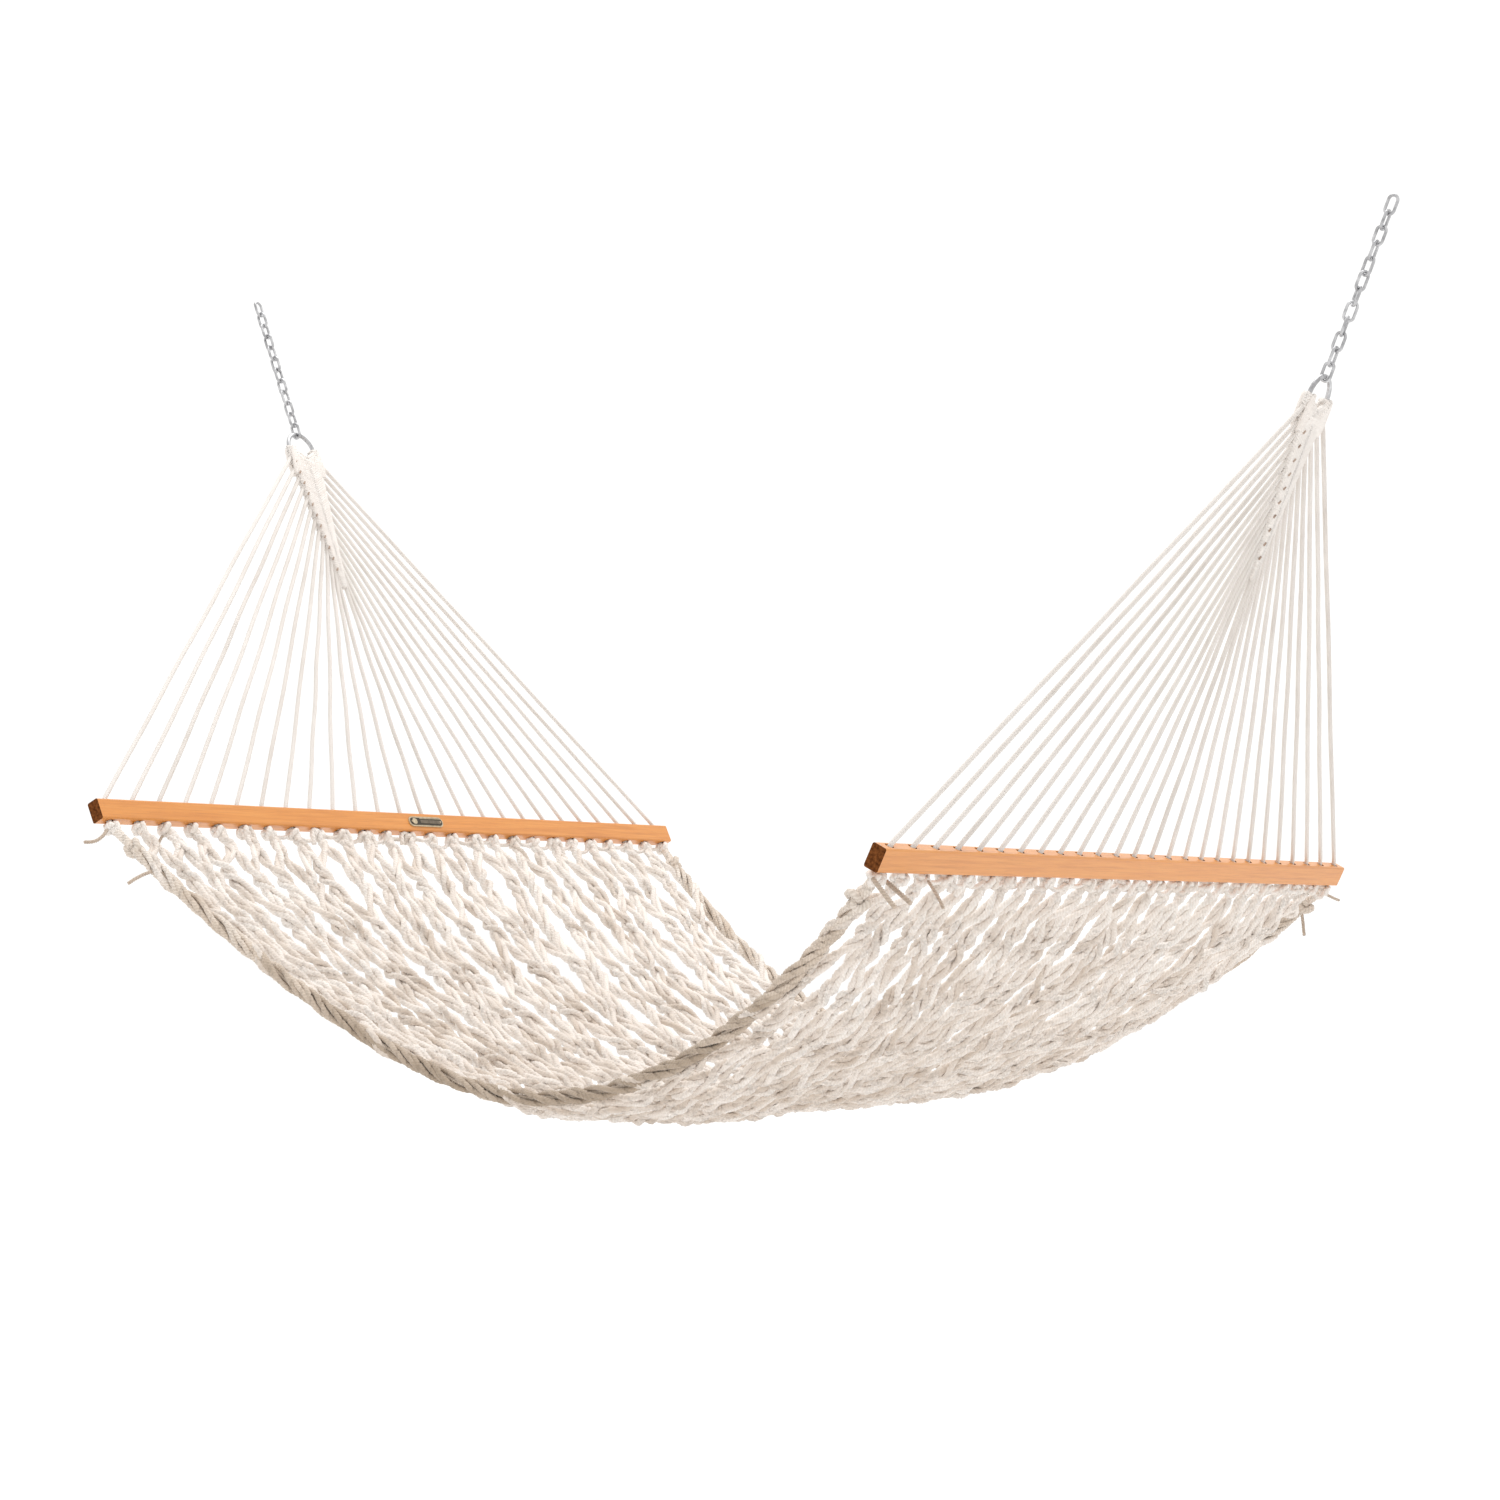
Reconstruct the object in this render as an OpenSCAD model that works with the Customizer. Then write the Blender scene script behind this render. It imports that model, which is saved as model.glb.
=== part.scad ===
// Rope hammock with two wooden spreader bars, two gathered clews, rings and hanging chains.
// All sizes are in millimetres. +X runs along the hammock from the left chain to the right chain,
// +Y across it and +Z up. The origin is the point where a hook bears in the left chain's end link.

/* [Overall] */
// Half the distance between the two spreader bars
half_span = 680; // [640:5:720]
// Steepness of the left clew above the horizontal, in degrees
left_clew_angle = 64.3; // [60:0.1:72]
// Steepness of the right clew above the horizontal, in degrees
right_clew_angle = 70; // [60:0.1:72]
// Distance up the clew from a spreader bar's middle to the chain
clew_length = 734; // [700:1:780]
// How far each spreader bar leans back from the line of its clew, in degrees
bar_lean = 3; // [0:0.5:4]

/* [Spreader bars] */
// Length of each spreader bar
bar_length = 1400; // [1380:2:1460]
// Height of a bar, along its holes
bar_height = 33; // [30:1:40]
// Thickness of a bar
bar_thickness = 22; // [20:1:28]
// Radius of a bar's long edges
bar_edge_radius = 3; // [1:0.5:5]
// Number of rope holes in each bar
hole_count = 26; // [26:2:26]
// Diameter of a rope hole
hole_diameter = 12.5; // [11:0.5:14]
// Distance from a bar's end to its first hole
hole_margin = 21; // [18:1:30]

/* [Clews] */
// Diameter of a clew string
string_diameter = 5; // [4:0.2:5.2]
// Length of the woven head, down from the chain
head_length = 295; // [280:5:300]
// Thickness of the woven head
head_thickness = 16; // [14:1:20]
// Half the width of the woven head at its widest
head_half_width = 38; // [37:1:42]

/* [Rings and chains] */
// Inside diameter of a ring
ring_inside = 52; // [48:1:56]
// Wire diameter of a ring
ring_wire = 7; // [6:0.5:8]
// Number of links in each chain
link_count = 12; // [12:1:12]
// Distance from one link to the next
link_pitch = 22; // [21:0.5:24]
// Wire diameter of a link
link_wire = 4.5; // [4:0.1:4.5]
// Inside width of a link
link_inside_width = 9.5; // [9.5:0.1:11]
// Play between neighbouring links
link_play = 0.7; // [0.6:0.1:1]

/* [Bed] */
// Sag of the bed's side edges below the spreader bars
edge_sag = 336; // [280:2:360]
// Extra sag of the bed's middle, below its side edges
middle_sag = 38; // [30:2:110]
// Share by which the right half hangs deeper than the left half
sag_shift = 0.137; // [0:0.001:0.16]
// Share of the bed's width lost where its side edges draw in at mid length
edge_draw_in = 0.141; // [0.05:0.001:0.15]
// Thickness of the net
net_thickness = 9; // [8:1:12]
// Diameter of the twisted side ropes
edge_rope_diameter = 22; // [18:1:24]
// Radius of the knot under each hole
knot_radius = 10; // [9.5:0.5:11]
// Radius of the double knot at each corner
corner_knot_radius = 12; // [11:0.5:13]

/* [Badge] */
// Length of the badge plate
badge_length = 84; // [80:1:100]
// Height of the badge plate
badge_height = 18; // [16:1:20]
// How far the badge sits from the bar's middle
badge_offset = 16; // [-20:1:20]

/* [Hidden] */
LINKS = [for (side = ["left", "right"]) for (i = [1:12]) str("link_", side, "_", i < 10 ? "0" : "", i)];

LEFT = -1;
RIGHT = 1;
round_faces = 40;
wire_faces = 28;

// Materials' colours
zinc = [0.72, 0.73, 0.74];
oak = [0.86, 0.56, 0.31];
cream = [0.93, 0.90, 0.85];
oatmeal = [0.86, 0.82, 0.75];
brass = [0.76, 0.62, 0.34];
charcoal = [0.14, 0.14, 0.15];

// Directions up each clew and up each bar's holes
function clew_angle(side) = side == LEFT ? left_clew_angle : right_clew_angle;
function bar_angle(side) = clew_angle(side) - bar_lean;
function up_at(side, angle) = [side * cos(angle), 0, sin(angle)];
function across_at(side, angle) = [sin(angle), 0, -side * cos(angle)];

// A point beside a bar's middle: out of its face, along the bar and up the clew or up the holes
function clew_point(side, out, along, up) = [side * half_span, along, 0]
    + out * across_at(side, clew_angle(side)) + up * up_at(side, clew_angle(side));
function bar_point(side, out, along, up) = [side * half_span, along, 0]
    + out * across_at(side, bar_angle(side)) + up * up_at(side, bar_angle(side));

chain_top = clew_length + link_count * link_pitch + link_play / 2;
origin_shift = -clew_point(LEFT, 0, 0, chain_top);

hole_span = bar_length - 2 * hole_margin;
hole_pitch = hole_span / (hole_count - 1);
function hole_along(i) = -hole_span / 2 + i * hole_pitch;

ring_line = (ring_inside + ring_wire) / 2;
ring_middle = clew_length + link_play / 2 + ring_wire / 2 - ring_line;

// The woven head's outline, measured across the bar and up the clew
head_shoulder = clew_length - 45;
head_tip = clew_length - head_length;
head_tip_half_width = 7;
head_notch = 14;
head_lobe = 18;
head_corner = 3;
function head_half(up) = head_tip_half_width
    + (head_half_width - head_tip_half_width) * (up - head_tip) / (head_shoulder - head_tip);

// Where each string leaves the head, from the outermost (0) to the innermost
strings_per_side = hole_count / 2;
first_leave = clew_length - 50;
last_leave = head_tip + 4;
string_lead_in = 26;
function leave_up(k) = first_leave - k * (first_leave - last_leave) / (strings_per_side - 1);

// Knots hang this far below the bar; the bed swings about the line through their middles
knot_drop = 7;
corner_knot_drop = 9;
hem_radius = 3.5;
function knot_line(side) = bar_point(side, 0, 0, -bar_height / 2 - knot_drop);

// The bed: s runs from -1 at the left knots to 1 at the right knots, v from -1 to 1 across it
left_end = knot_line(LEFT);
right_end = knot_line(RIGHT);
bed_half_length = (right_end[0] - left_end[0]) / 2;
edge_curve = 1.85; // 2 would hang each side edge in a parabola
middle_curve = 6; // higher makes the bed's belly flatter along its length
middle_shift = 0.62; // share by which the belly is deeper to the right
across_curve = 6; // higher makes the bed's belly flatter across it
function edge_hang(s) = 1 - pow(abs(s), edge_curve);
function middle_hang(s) = (1 - pow(abs(s), middle_curve)) * (1 + middle_shift * s);
function bed_along(s) = left_end[0] + (s + 1) * bed_half_length;
function bed_half_width(s) = hole_span / 2 * (1 - edge_draw_in * (1 - s * s));
function bed_height(s, v) = left_end[2] + (right_end[2] - left_end[2]) * (s + 1) / 2
    - edge_sag * edge_hang(s) * (1 + sag_shift * s)
    - middle_sag * middle_hang(s) * (1 - pow(abs(v), across_curve));
function bed_point(s, y) = [bed_along(s), y, bed_height(s, y / bed_half_width(s))];

net_inset_left = 14;
net_inset_right = 20;
net_first = -1 + net_inset_left / bed_half_length;
net_last = 1 - net_inset_right / bed_half_length;
net_edge_gap = 0.3;
net_rows = 36;
net_columns = 14;
edge_inset_left = 18;
edge_inset_right = 26;
edge_rows = 44;
edge_sides = 12;

badge_thickness = 2;
badge_rim = 2.5;
badge_face_rise = 0.6;
badge_pin_radius = 1.8;

// Loose rope ends, in the hammock's own frame; each starts just clear of its knot or side rope
tail_sides = 8;
thick_tail_radius = 3.4;
middle_tail_radius = 2.9;
thin_tail_radius = 2.5;
TAIL_LEFT_CORNER = [
    [452, -693, -927], [457, -702, -933], [460, -711, -938], [462, -720, -942],
    [463, -728, -944], [463, -736, -945], [463, -744, -945]];
TAIL_LEFT_EDGE = [
    [520, -661, -982], [523, -673, -985], [525, -685, -988], [527, -697, -992],
    [528, -707, -996], [529, -717, -1001]];
TAIL_LEFT_INNER = [[447, -578, -933], [450, -585, -939], [454, -592, -945], [459, -600, -951]];
TAIL_RIGHT_CORNER = [
    [1788, -694, -926], [1800, -700, -934], [1812, -706, -942], [1824, -712, -950], [1836, -717, -958]];
TAIL_RIGHT_SECOND = [
    [1781, -652, -929], [1794, -658, -935], [1807, -664, -941], [1820, -670, -947], [1832, -675, -953]];
TAIL_RIGHT_INNER = [
    [1795, -575, -927], [1806, -582, -935], [1816, -588, -943], [1825, -593, -951], [1832, -597, -959]];
TAIL_FAR_CORNER = [
    [1777, 691, -929], [1780, 701, -934], [1783, 711, -937], [1786, 721, -940], [1789, 730, -942]];
TAIL_FAR_EDGE = [
    [1750, 672, -967], [1749, 678, -975], [1748, 684, -984], [1747, 689, -993], [1747, 693, -1002]];

// Places its children where the clew or the bar is, with +Z up the clew or up the holes
module beside_bar(side, angle) {
    translate(origin_shift)
        translate([side * half_span, 0, 0])
            rotate([0, side * (90 - angle), 0])
                children();
}

// A straight round cord between two points
module cord(from, to, radius) {
    run = to - from;
    length = norm(run);
    translate(from)
        rotate([0, acos(run[2] / length), atan2(run[1], run[0])])
            cylinder(h = length, r = radius, $fn = wire_faces);
}

// Half a torus, bulging towards +Z, for a link's end
module link_end() {
    bend = (link_inside_width + link_wire) / 2;
    rotate([90, 0, 0])
        rotate_extrude(angle = 180, $fn = round_faces)
            translate([bend, 0])
                circle(d = link_wire, $fn = wire_faces);
}

// One straight-sided chain link, long in Z and wide in X
module chain_link() {
    straight = link_pitch + link_play - link_inside_width;
    bend = (link_inside_width + link_wire) / 2;
    translate([0, 0, straight / 2])
        link_end();
    mirror([0, 0, 1])
        translate([0, 0, straight / 2])
            link_end();
    for (x = [-bend, bend])
        translate([x, 0, -straight / 2])
            cylinder(h = straight, d = link_wire, $fn = wire_faces);
}

// Links alternate; the right chain also carries a quarter turn of twist over its middle
function middle_twist(i) = 90 * max(0, min(1, (i - 3) / 6));
function link_turn(side, i) = 90 * (i - 1) + (side == RIGHT ? middle_twist(i) : 0);

module placed_link(side, i) {
    color(zinc)
        beside_bar(side, clew_angle(side))
            translate([0, 0, clew_length + link_pitch * (i - 0.5)])
                rotate([0, 0, link_turn(side, i)])
                    chain_link();
}

module ring(side, wire = ring_wire) {
    color(zinc)
        beside_bar(side, clew_angle(side))
            translate([0, 0, ring_middle])
                rotate([0, 90, 0])
                    rotate_extrude($fn = 72)
                        translate([ring_line, 0])
                            circle(d = wire, $fn = wire_faces);
}

// The head's flat outline, standing in the plane of the clew
module head_block() {
    outline = [
        [-head_half_width + head_corner, ring_middle], [-head_lobe, ring_middle],
        [0, ring_middle - head_notch], [head_lobe, ring_middle],
        [head_half_width - head_corner, ring_middle], [head_half_width, head_shoulder],
        [head_tip_half_width, head_tip], [-head_tip_half_width, head_tip], [-head_half_width, head_shoulder]];
    rotate([90, 0, 90])
        translate([0, 0, -head_thickness / 2])
            linear_extrude(height = head_thickness)
                polygon(outline);
}

module clew_head(side) {
    color(cream)
        difference() {
            beside_bar(side, clew_angle(side))
                head_block();
            ring(side, ring_wire + 0.2);
        }
}

// One string: from inside the head to its hole's mouth, then straight down the hole
module clew_string(side, i) {
    outward = i < strings_per_side ? LEFT : RIGHT;
    k = i < strings_per_side ? i : hole_count - 1 - i;
    leave = clew_point(side, 0, outward * head_half(leave_up(k)), leave_up(k));
    mouth = bar_point(side, 0, hole_along(i), bar_height / 2);
    start = leave + (leave - mouth) / norm(leave - mouth) * string_lead_in;
    foot = bar_point(side, 0, hole_along(i), -bar_height / 2 + 1.5);
    crown = bar_point(side, 0, hole_along(i), bar_height / 2 + 1.5);
    cord(start, mouth, string_diameter / 2);
    cord(foot, crown, string_diameter / 2 - 0.2);
}

module clew_strings(side) {
    color(cream)
        difference() {
            translate(origin_shift)
                for (i = [0:hole_count - 1])
                    clew_string(side, i);
            beside_bar(side, clew_angle(side))
                head_block();
        }
}

// The bar's rounded section, thickness in X and height in Y
module bar_section() {
    inner_x = bar_thickness / 2 - bar_edge_radius;
    inner_y = bar_height / 2 - bar_edge_radius;
    square([bar_thickness, 2 * inner_y], center = true);
    square([2 * inner_x, bar_height], center = true);
    for (x = [-inner_x, inner_x])
        for (y = [-inner_y, inner_y])
            translate([x, y])
                circle(r = bar_edge_radius, $fn = wire_faces);
}

module spreader_bar(side) {
    color(oak)
        beside_bar(side, bar_angle(side))
            difference() {
                translate([0, bar_length / 2, 0])
                    rotate([90, 0, 0])
                        linear_extrude(height = bar_length)
                            bar_section();
                for (i = [0:hole_count - 1])
                    translate([0, hole_along(i), -bar_height])
                        cylinder(h = 2 * bar_height, d = hole_diameter, $fn = wire_faces);
            }
}

// Every knot bears on the bar's underside; a short hem cord runs from each knot to the next
module bar_knots(side) {
    under = -bar_height / 2;
    color(oatmeal)
        beside_bar(side, bar_angle(side))
            difference() {
                union() {
                    for (i = [0:hole_count - 1]) {
                        corner = i == 0 || i == hole_count - 1;
                        drop = corner ? corner_knot_drop : knot_drop;
                        radius = corner ? corner_knot_radius : knot_radius;
                        translate([0, hole_along(i), under - drop])
                            sphere(r = radius, $fn = round_faces);
                    }
                    translate([0, -hole_span / 2, under - knot_drop])
                        rotate([-90, 0, 0])
                            cylinder(h = hole_span, r = hem_radius, $fn = wire_faces);
                }
                translate([-bar_thickness, -bar_length / 2, under])
                    cube([2 * bar_thickness, bar_length, bar_height]);
            }
}

// A plate with round ends, lying on the bar's upper face
module badge_blank(length, height, low, high) {
    beside_bar(LEFT, bar_angle(LEFT))
        translate([bar_thickness / 2 + low, badge_offset, 0])
            rotate([0, 90, 0])
                linear_extrude(height = high - low) {
                    square([height, length - height], center = true);
                    for (y = [-1, 1])
                        translate([0, y * (length - height) / 2])
                            circle(d = height, $fn = round_faces);
                }
}

module badge_plate() {
    color(brass)
        badge_blank(badge_length, badge_height, 0, badge_thickness);
}

module badge_pin_places() {
    for (y = [-1, 1])
        beside_bar(LEFT, bar_angle(LEFT))
            translate([bar_thickness / 2 + badge_thickness, badge_offset + y * (badge_length / 2 - 7), 0])
                children();
}

module badge_face() {
    color(charcoal)
        difference() {
            badge_blank(badge_length - 2 * badge_rim, badge_height - 2 * badge_rim,
                badge_thickness, badge_thickness + badge_face_rise);
            badge_pin_places()
                rotate([0, 90, 0])
                    cylinder(h = 4, r = badge_pin_radius, center = true, $fn = wire_faces);
        }
}

module badge_pins() {
    color(brass)
        badge_pin_places()
            intersection() {
                sphere(r = badge_pin_radius, $fn = wire_faces);
                translate([0, -badge_pin_radius, -badge_pin_radius])
                    cube(2 * badge_pin_radius);
            }
}

// Half the net's width at s, inside the side ropes
function net_half_width(s) = bed_half_width(s) - edge_rope_diameter - net_edge_gap;

// The net's middle surface, with the direction square to it
small_step = 0.002; // of s or v, for slopes
function unit(v) = v / norm(v);
function net_point(s, v) = bed_point(s, v * net_half_width(s));
function net_normal(s, v) = unit(cross(
    net_point(s + small_step, v) - net_point(s - small_step, v),
    net_point(s, v + small_step) - net_point(s, v - small_step)));
function grid_triangles(rows, columns, first, flip) = [
    for (i = [0:rows - 1])
        for (j = [0:columns - 1])
            let (a = first + i * (columns + 1) + j, b = a + 1, c = a + columns + 2, d = a + columns + 1)
                each flip ? [[a, c, b], [a, d, c]] : [[a, b, c], [a, c, d]]];
function wall_triangles(ring_a, ring_b) = [
    for (i = [0:len(ring_a) - 1])
        let (next = (i + 1) % len(ring_a))
            each [[ring_a[i], ring_b[i], ring_b[next]], [ring_a[i], ring_b[next], ring_a[next]]]];

module bed_net() {
    layer = (net_rows + 1) * (net_columns + 1);
    stations = [for (i = [0:net_rows]) net_first + (net_last - net_first) * i / net_rows];
    across = [for (j = [0:net_columns]) -1 + 2 * j / net_columns];
    corners = [
        for (face = [1, -1])
            for (s = stations)
                for (v = across)
                    net_point(s, v) + face * net_thickness / 2 * net_normal(s, v)];
    rim = concat(
        [for (j = [0:net_columns - 1]) j],
        [for (i = [0:net_rows - 1]) i * (net_columns + 1) + net_columns],
        [for (j = [0:net_columns - 1]) layer - 1 - j],
        [for (i = [0:net_rows - 1]) (net_rows - i) * (net_columns + 1)]);
    color(oatmeal)
        translate(origin_shift)
            polyhedron(corners, concat(
                grid_triangles(net_rows, net_columns, 0, false),
                grid_triangles(net_rows, net_columns, layer, true),
                wall_triangles(rim, [for (k = rim) k + layer])));
}

// A round tube along a list of points; its rings stay square to the path
function path_direction(path, i) = unit(path[min(i + 1, len(path) - 1)] - path[max(i - 1, 0)]);
function path_side(path, i) = unit(cross(path_direction(path, i), [0, 0.3, 1]));
function path_ring(path, i, radius, sides) = [
    for (k = [0:sides - 1])
        let (side = path_side(path, i), up = cross(side, path_direction(path, i)), turn = 360 * k / sides)
            path[i] + radius * (cos(turn) * side + sin(turn) * up)];
module tube(path, radius, sides) {
    rings = len(path);
    corners = [for (i = [0:rings - 1]) each path_ring(path, i, radius, sides)];
    walls = [
        for (i = [0:rings - 2])
            for (k = [0:sides - 1])
                let (a = i * sides + k, b = i * sides + (k + 1) % sides)
                    each [[a, a + sides, b + sides], [a, b + sides, b]]];
    ends = [[for (k = [0:sides - 1]) k], [for (k = [sides - 1:-1:0]) (rings - 1) * sides + k]];
    polyhedron(corners, concat(walls, ends));
}

module bed_edge(across) {
    first = -1 + edge_inset_left / bed_half_length;
    last = 1 - edge_inset_right / bed_half_length;
    path = [
        for (i = [0:edge_rows])
            let (s = first + (last - first) * i / edge_rows)
                bed_point(s, across * (bed_half_width(s) - edge_rope_diameter / 2))];
    color(oatmeal)
        translate(origin_shift)
            tube(path, edge_rope_diameter / 2, edge_sides);
}

module tail(path, radius) {
    color(oatmeal)
        tube(path, radius, tail_sides);
}

for (i = [1:link_count]) {
    placed_link(LEFT, i);
    placed_link(RIGHT, i);
}
ring(LEFT);  // ring_left
ring(RIGHT);  // ring_right
clew_head(LEFT);  // clew_head_left
clew_head(RIGHT);  // clew_head_right
clew_strings(LEFT);  // clew_strings_left
clew_strings(RIGHT);  // clew_strings_right
spreader_bar(LEFT);  // spreader_bar_left
spreader_bar(RIGHT);  // spreader_bar_right
bar_knots(LEFT);  // bar_knots_left
bar_knots(RIGHT);  // bar_knots_right
badge_plate();
badge_face();
badge_pins();
bed_net();
bed_edge(-1);  // bed_edge_near
bed_edge(1);  // bed_edge_far
tail(TAIL_LEFT_CORNER, middle_tail_radius);  // tail_left_corner
tail(TAIL_LEFT_EDGE, middle_tail_radius);  // tail_left_edge
tail(TAIL_LEFT_INNER, thin_tail_radius);  // tail_left_inner
tail(TAIL_RIGHT_CORNER, thick_tail_radius);  // tail_right_corner
tail(TAIL_RIGHT_SECOND, thick_tail_radius);  // tail_right_second
tail(TAIL_RIGHT_INNER, thin_tail_radius);  // tail_right_inner
tail(TAIL_FAR_CORNER, thin_tail_radius);  // tail_far_corner
tail(TAIL_FAR_EDGE, middle_tail_radius);  // tail_far_edge
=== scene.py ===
"""Looks of the rope hammock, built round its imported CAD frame. Metres, in the CAD part's own axes."""

import math

import bpy
import numpy as np
from mathutils import Matrix, Vector


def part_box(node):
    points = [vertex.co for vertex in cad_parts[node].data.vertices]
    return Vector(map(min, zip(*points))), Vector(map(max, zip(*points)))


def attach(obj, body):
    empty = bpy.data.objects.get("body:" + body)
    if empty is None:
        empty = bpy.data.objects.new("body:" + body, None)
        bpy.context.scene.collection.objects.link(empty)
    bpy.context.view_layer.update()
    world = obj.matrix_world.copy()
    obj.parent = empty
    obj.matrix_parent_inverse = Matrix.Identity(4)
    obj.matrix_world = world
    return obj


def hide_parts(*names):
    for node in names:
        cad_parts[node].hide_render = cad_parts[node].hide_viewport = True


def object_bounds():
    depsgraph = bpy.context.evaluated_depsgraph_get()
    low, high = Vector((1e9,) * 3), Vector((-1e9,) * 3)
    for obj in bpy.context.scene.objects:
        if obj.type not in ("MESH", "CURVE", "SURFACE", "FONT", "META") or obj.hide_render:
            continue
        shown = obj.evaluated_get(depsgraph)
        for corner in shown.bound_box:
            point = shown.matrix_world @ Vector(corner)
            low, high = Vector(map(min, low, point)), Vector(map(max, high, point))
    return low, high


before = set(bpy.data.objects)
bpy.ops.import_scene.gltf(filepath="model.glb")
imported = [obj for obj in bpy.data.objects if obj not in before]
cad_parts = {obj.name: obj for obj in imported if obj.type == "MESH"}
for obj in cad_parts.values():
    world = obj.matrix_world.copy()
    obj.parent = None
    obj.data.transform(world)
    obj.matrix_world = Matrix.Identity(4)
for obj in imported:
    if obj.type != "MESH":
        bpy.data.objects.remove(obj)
cad_box = [list(corner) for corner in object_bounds()]
scene = bpy.context.scene

# ---------------------------------------------------------------- sizes
LEFT = -1
RIGHT = 1
CLEW_ANGLE = {LEFT: math.radians(64.3), RIGHT: math.radians(70)}
BAR_LEAN = math.radians(3)
BAR_NODE = {LEFT: "spreader_bar_left", RIGHT: "spreader_bar_right"}
BAR_BODY = {LEFT: "left_bar", RIGHT: "right_bar"}
CLEW_BODY = {LEFT: "left_clew", RIGHT: "right_clew"}
SIDE_NAME = {LEFT: "left", RIGHT: "right"}

bar_height = 0.033
hole_count = 26
hole_margin = 0.021
knot_drop = 0.007

clew_length = 0.734
head_length = 0.295
head_half_width = 0.038
head_tip_half_width = 0.007
head_thickness = 0.016
head_shoulder = clew_length - 0.045
head_tip = clew_length - head_length
first_leave = clew_length - 0.050
last_leave = head_tip + 0.004
string_lead_in = 0.030
string_sway = 0.0012
head_row_pitch = 0.0044
head_row_inset = 0.0027
head_rise_past_shoulder = 0.012
ring_loops = 17
ring_loop_spread = math.radians(84)
ring_loop_foot_reach = 0.034
ring_loop_foot_up = head_shoulder - 0.034
ring_loop_neck = 0.018
ring_loop_buried = 0.0030
ring_line = 0.0295
ring_wire = 0.007
ring_middle = clew_length - ring_line + 0.00385

rope_plies = 3
string_radius = 0.0038
string_lay = 0.017
string_groove = 0.12
net_rope_radius = 0.0049
side_cord_count = 6
side_cord_radius = 0.0043
side_helix_radius = 0.0075
side_lay = 0.15
side_taper_start = 0.04
side_taper_run = 0.06
hem_rope_radius = 0.0036
snarl_radius = 0.0042
small_rope_lay = 0.019

knot_size_range = (0.0080, 0.0092)
knot_height = 0.0050
knot_rope_radius = 0.0053
corner_knot_size = 0.0092
corner_knot_rope_radius = 0.0056
hole_rope_radius = 0.0046
second_knot_share = 0.034
second_knot_size = {LEFT: 0.0105, RIGHT: 0.0150}
second_knot_height = 0.0066
second_knot_rope_radius = 0.0058
knot_spacing = 0.0022

edge_sag = 0.336
edge_curve = 1.85
sag_shift = 0.137
middle_sag = 0.038
middle_curve = 6
middle_shift = 0.62
across_curve = 6
side_rope_draw_in = 0.157
strand_drift = -0.12

net_rows = 14
net_strands = 48
strands_in_a_piece = 12
twin_radius = 0.0044
pair_radius = 0.0064
edge_wrap_radius = 0.0105
gathered_share = 0.025
gathered_radius = 0.0038
twist_steps = 22

lacing_pitch = 0.0205
lacing_radius = 0.0016
stitch_half_length = 0.0022

badge_stand_out = 0.0002

bar_low, bar_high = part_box(BAR_NODE[LEFT])
bar_length = bar_high.y - bar_low.y
half_across = bar_length / 2 - hole_margin
hole_pitch = 2 * half_across / (hole_count - 1)


def middle_of(node):
    low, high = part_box(node)
    return (np.array(low) + np.array(high)) / 2


BAR_MIDDLE = {side: middle_of(BAR_NODE[side]) for side in (LEFT, RIGHT)}


def up_at(side, angle):
    return np.array([side * math.cos(angle), 0.0, math.sin(angle)])


def across_at(side, angle):
    return np.array([math.sin(angle), 0.0, -side * math.cos(angle)])


def place_beside(side, angle, out, along, up):
    moved = out * across_at(side, angle) + up * up_at(side, angle)
    return BAR_MIDDLE[side] + moved + np.array([0, along, 0])


def clew_point(side, out, along, up):
    """A place in a clew's own plane: out of the plane, along the bar, and up towards the ring."""
    return place_beside(side, CLEW_ANGLE[side], out, along, up)


def bar_point(side, out, along, up):
    """The same for a spreader bar, which leans a little from its clew's plane."""
    return place_beside(side, CLEW_ANGLE[side] - BAR_LEAN, out, along, up)


def hole_along(i):
    return -half_across + i * hole_pitch


def knot_middle(side, i):
    return bar_point(side, 0, hole_along(i), -bar_height / 2 - knot_drop)


# ---------------------------------------------------------------- camera
def place_camera():
    yaw = -0.559
    pitch = 0.027
    roll = 0.053
    stands_at = (3.6929, -3.693, -0.8626)
    forward = np.array([math.cos(pitch) * math.sin(yaw), math.cos(pitch) * math.cos(yaw), math.sin(pitch)])
    right = np.cross(forward, (0, 0, 1))
    right /= np.linalg.norm(right)
    up = np.cross(right, forward)
    rolled_right = math.cos(roll) * right + math.sin(roll) * up
    rolled_up = math.cos(roll) * up - math.sin(roll) * right
    data = bpy.data.cameras.new("camera")
    data.lens = 69.62
    data.sensor_width = 36
    data.shift_x = -0.10
    camera = bpy.data.objects.new("camera", data)
    axes = Matrix([rolled_right, rolled_up, -forward]).transposed().to_4x4()
    camera.matrix_world = Matrix.Translation(stands_at) @ axes
    scene.collection.objects.link(camera)
    scene.camera = camera


place_camera()


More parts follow.
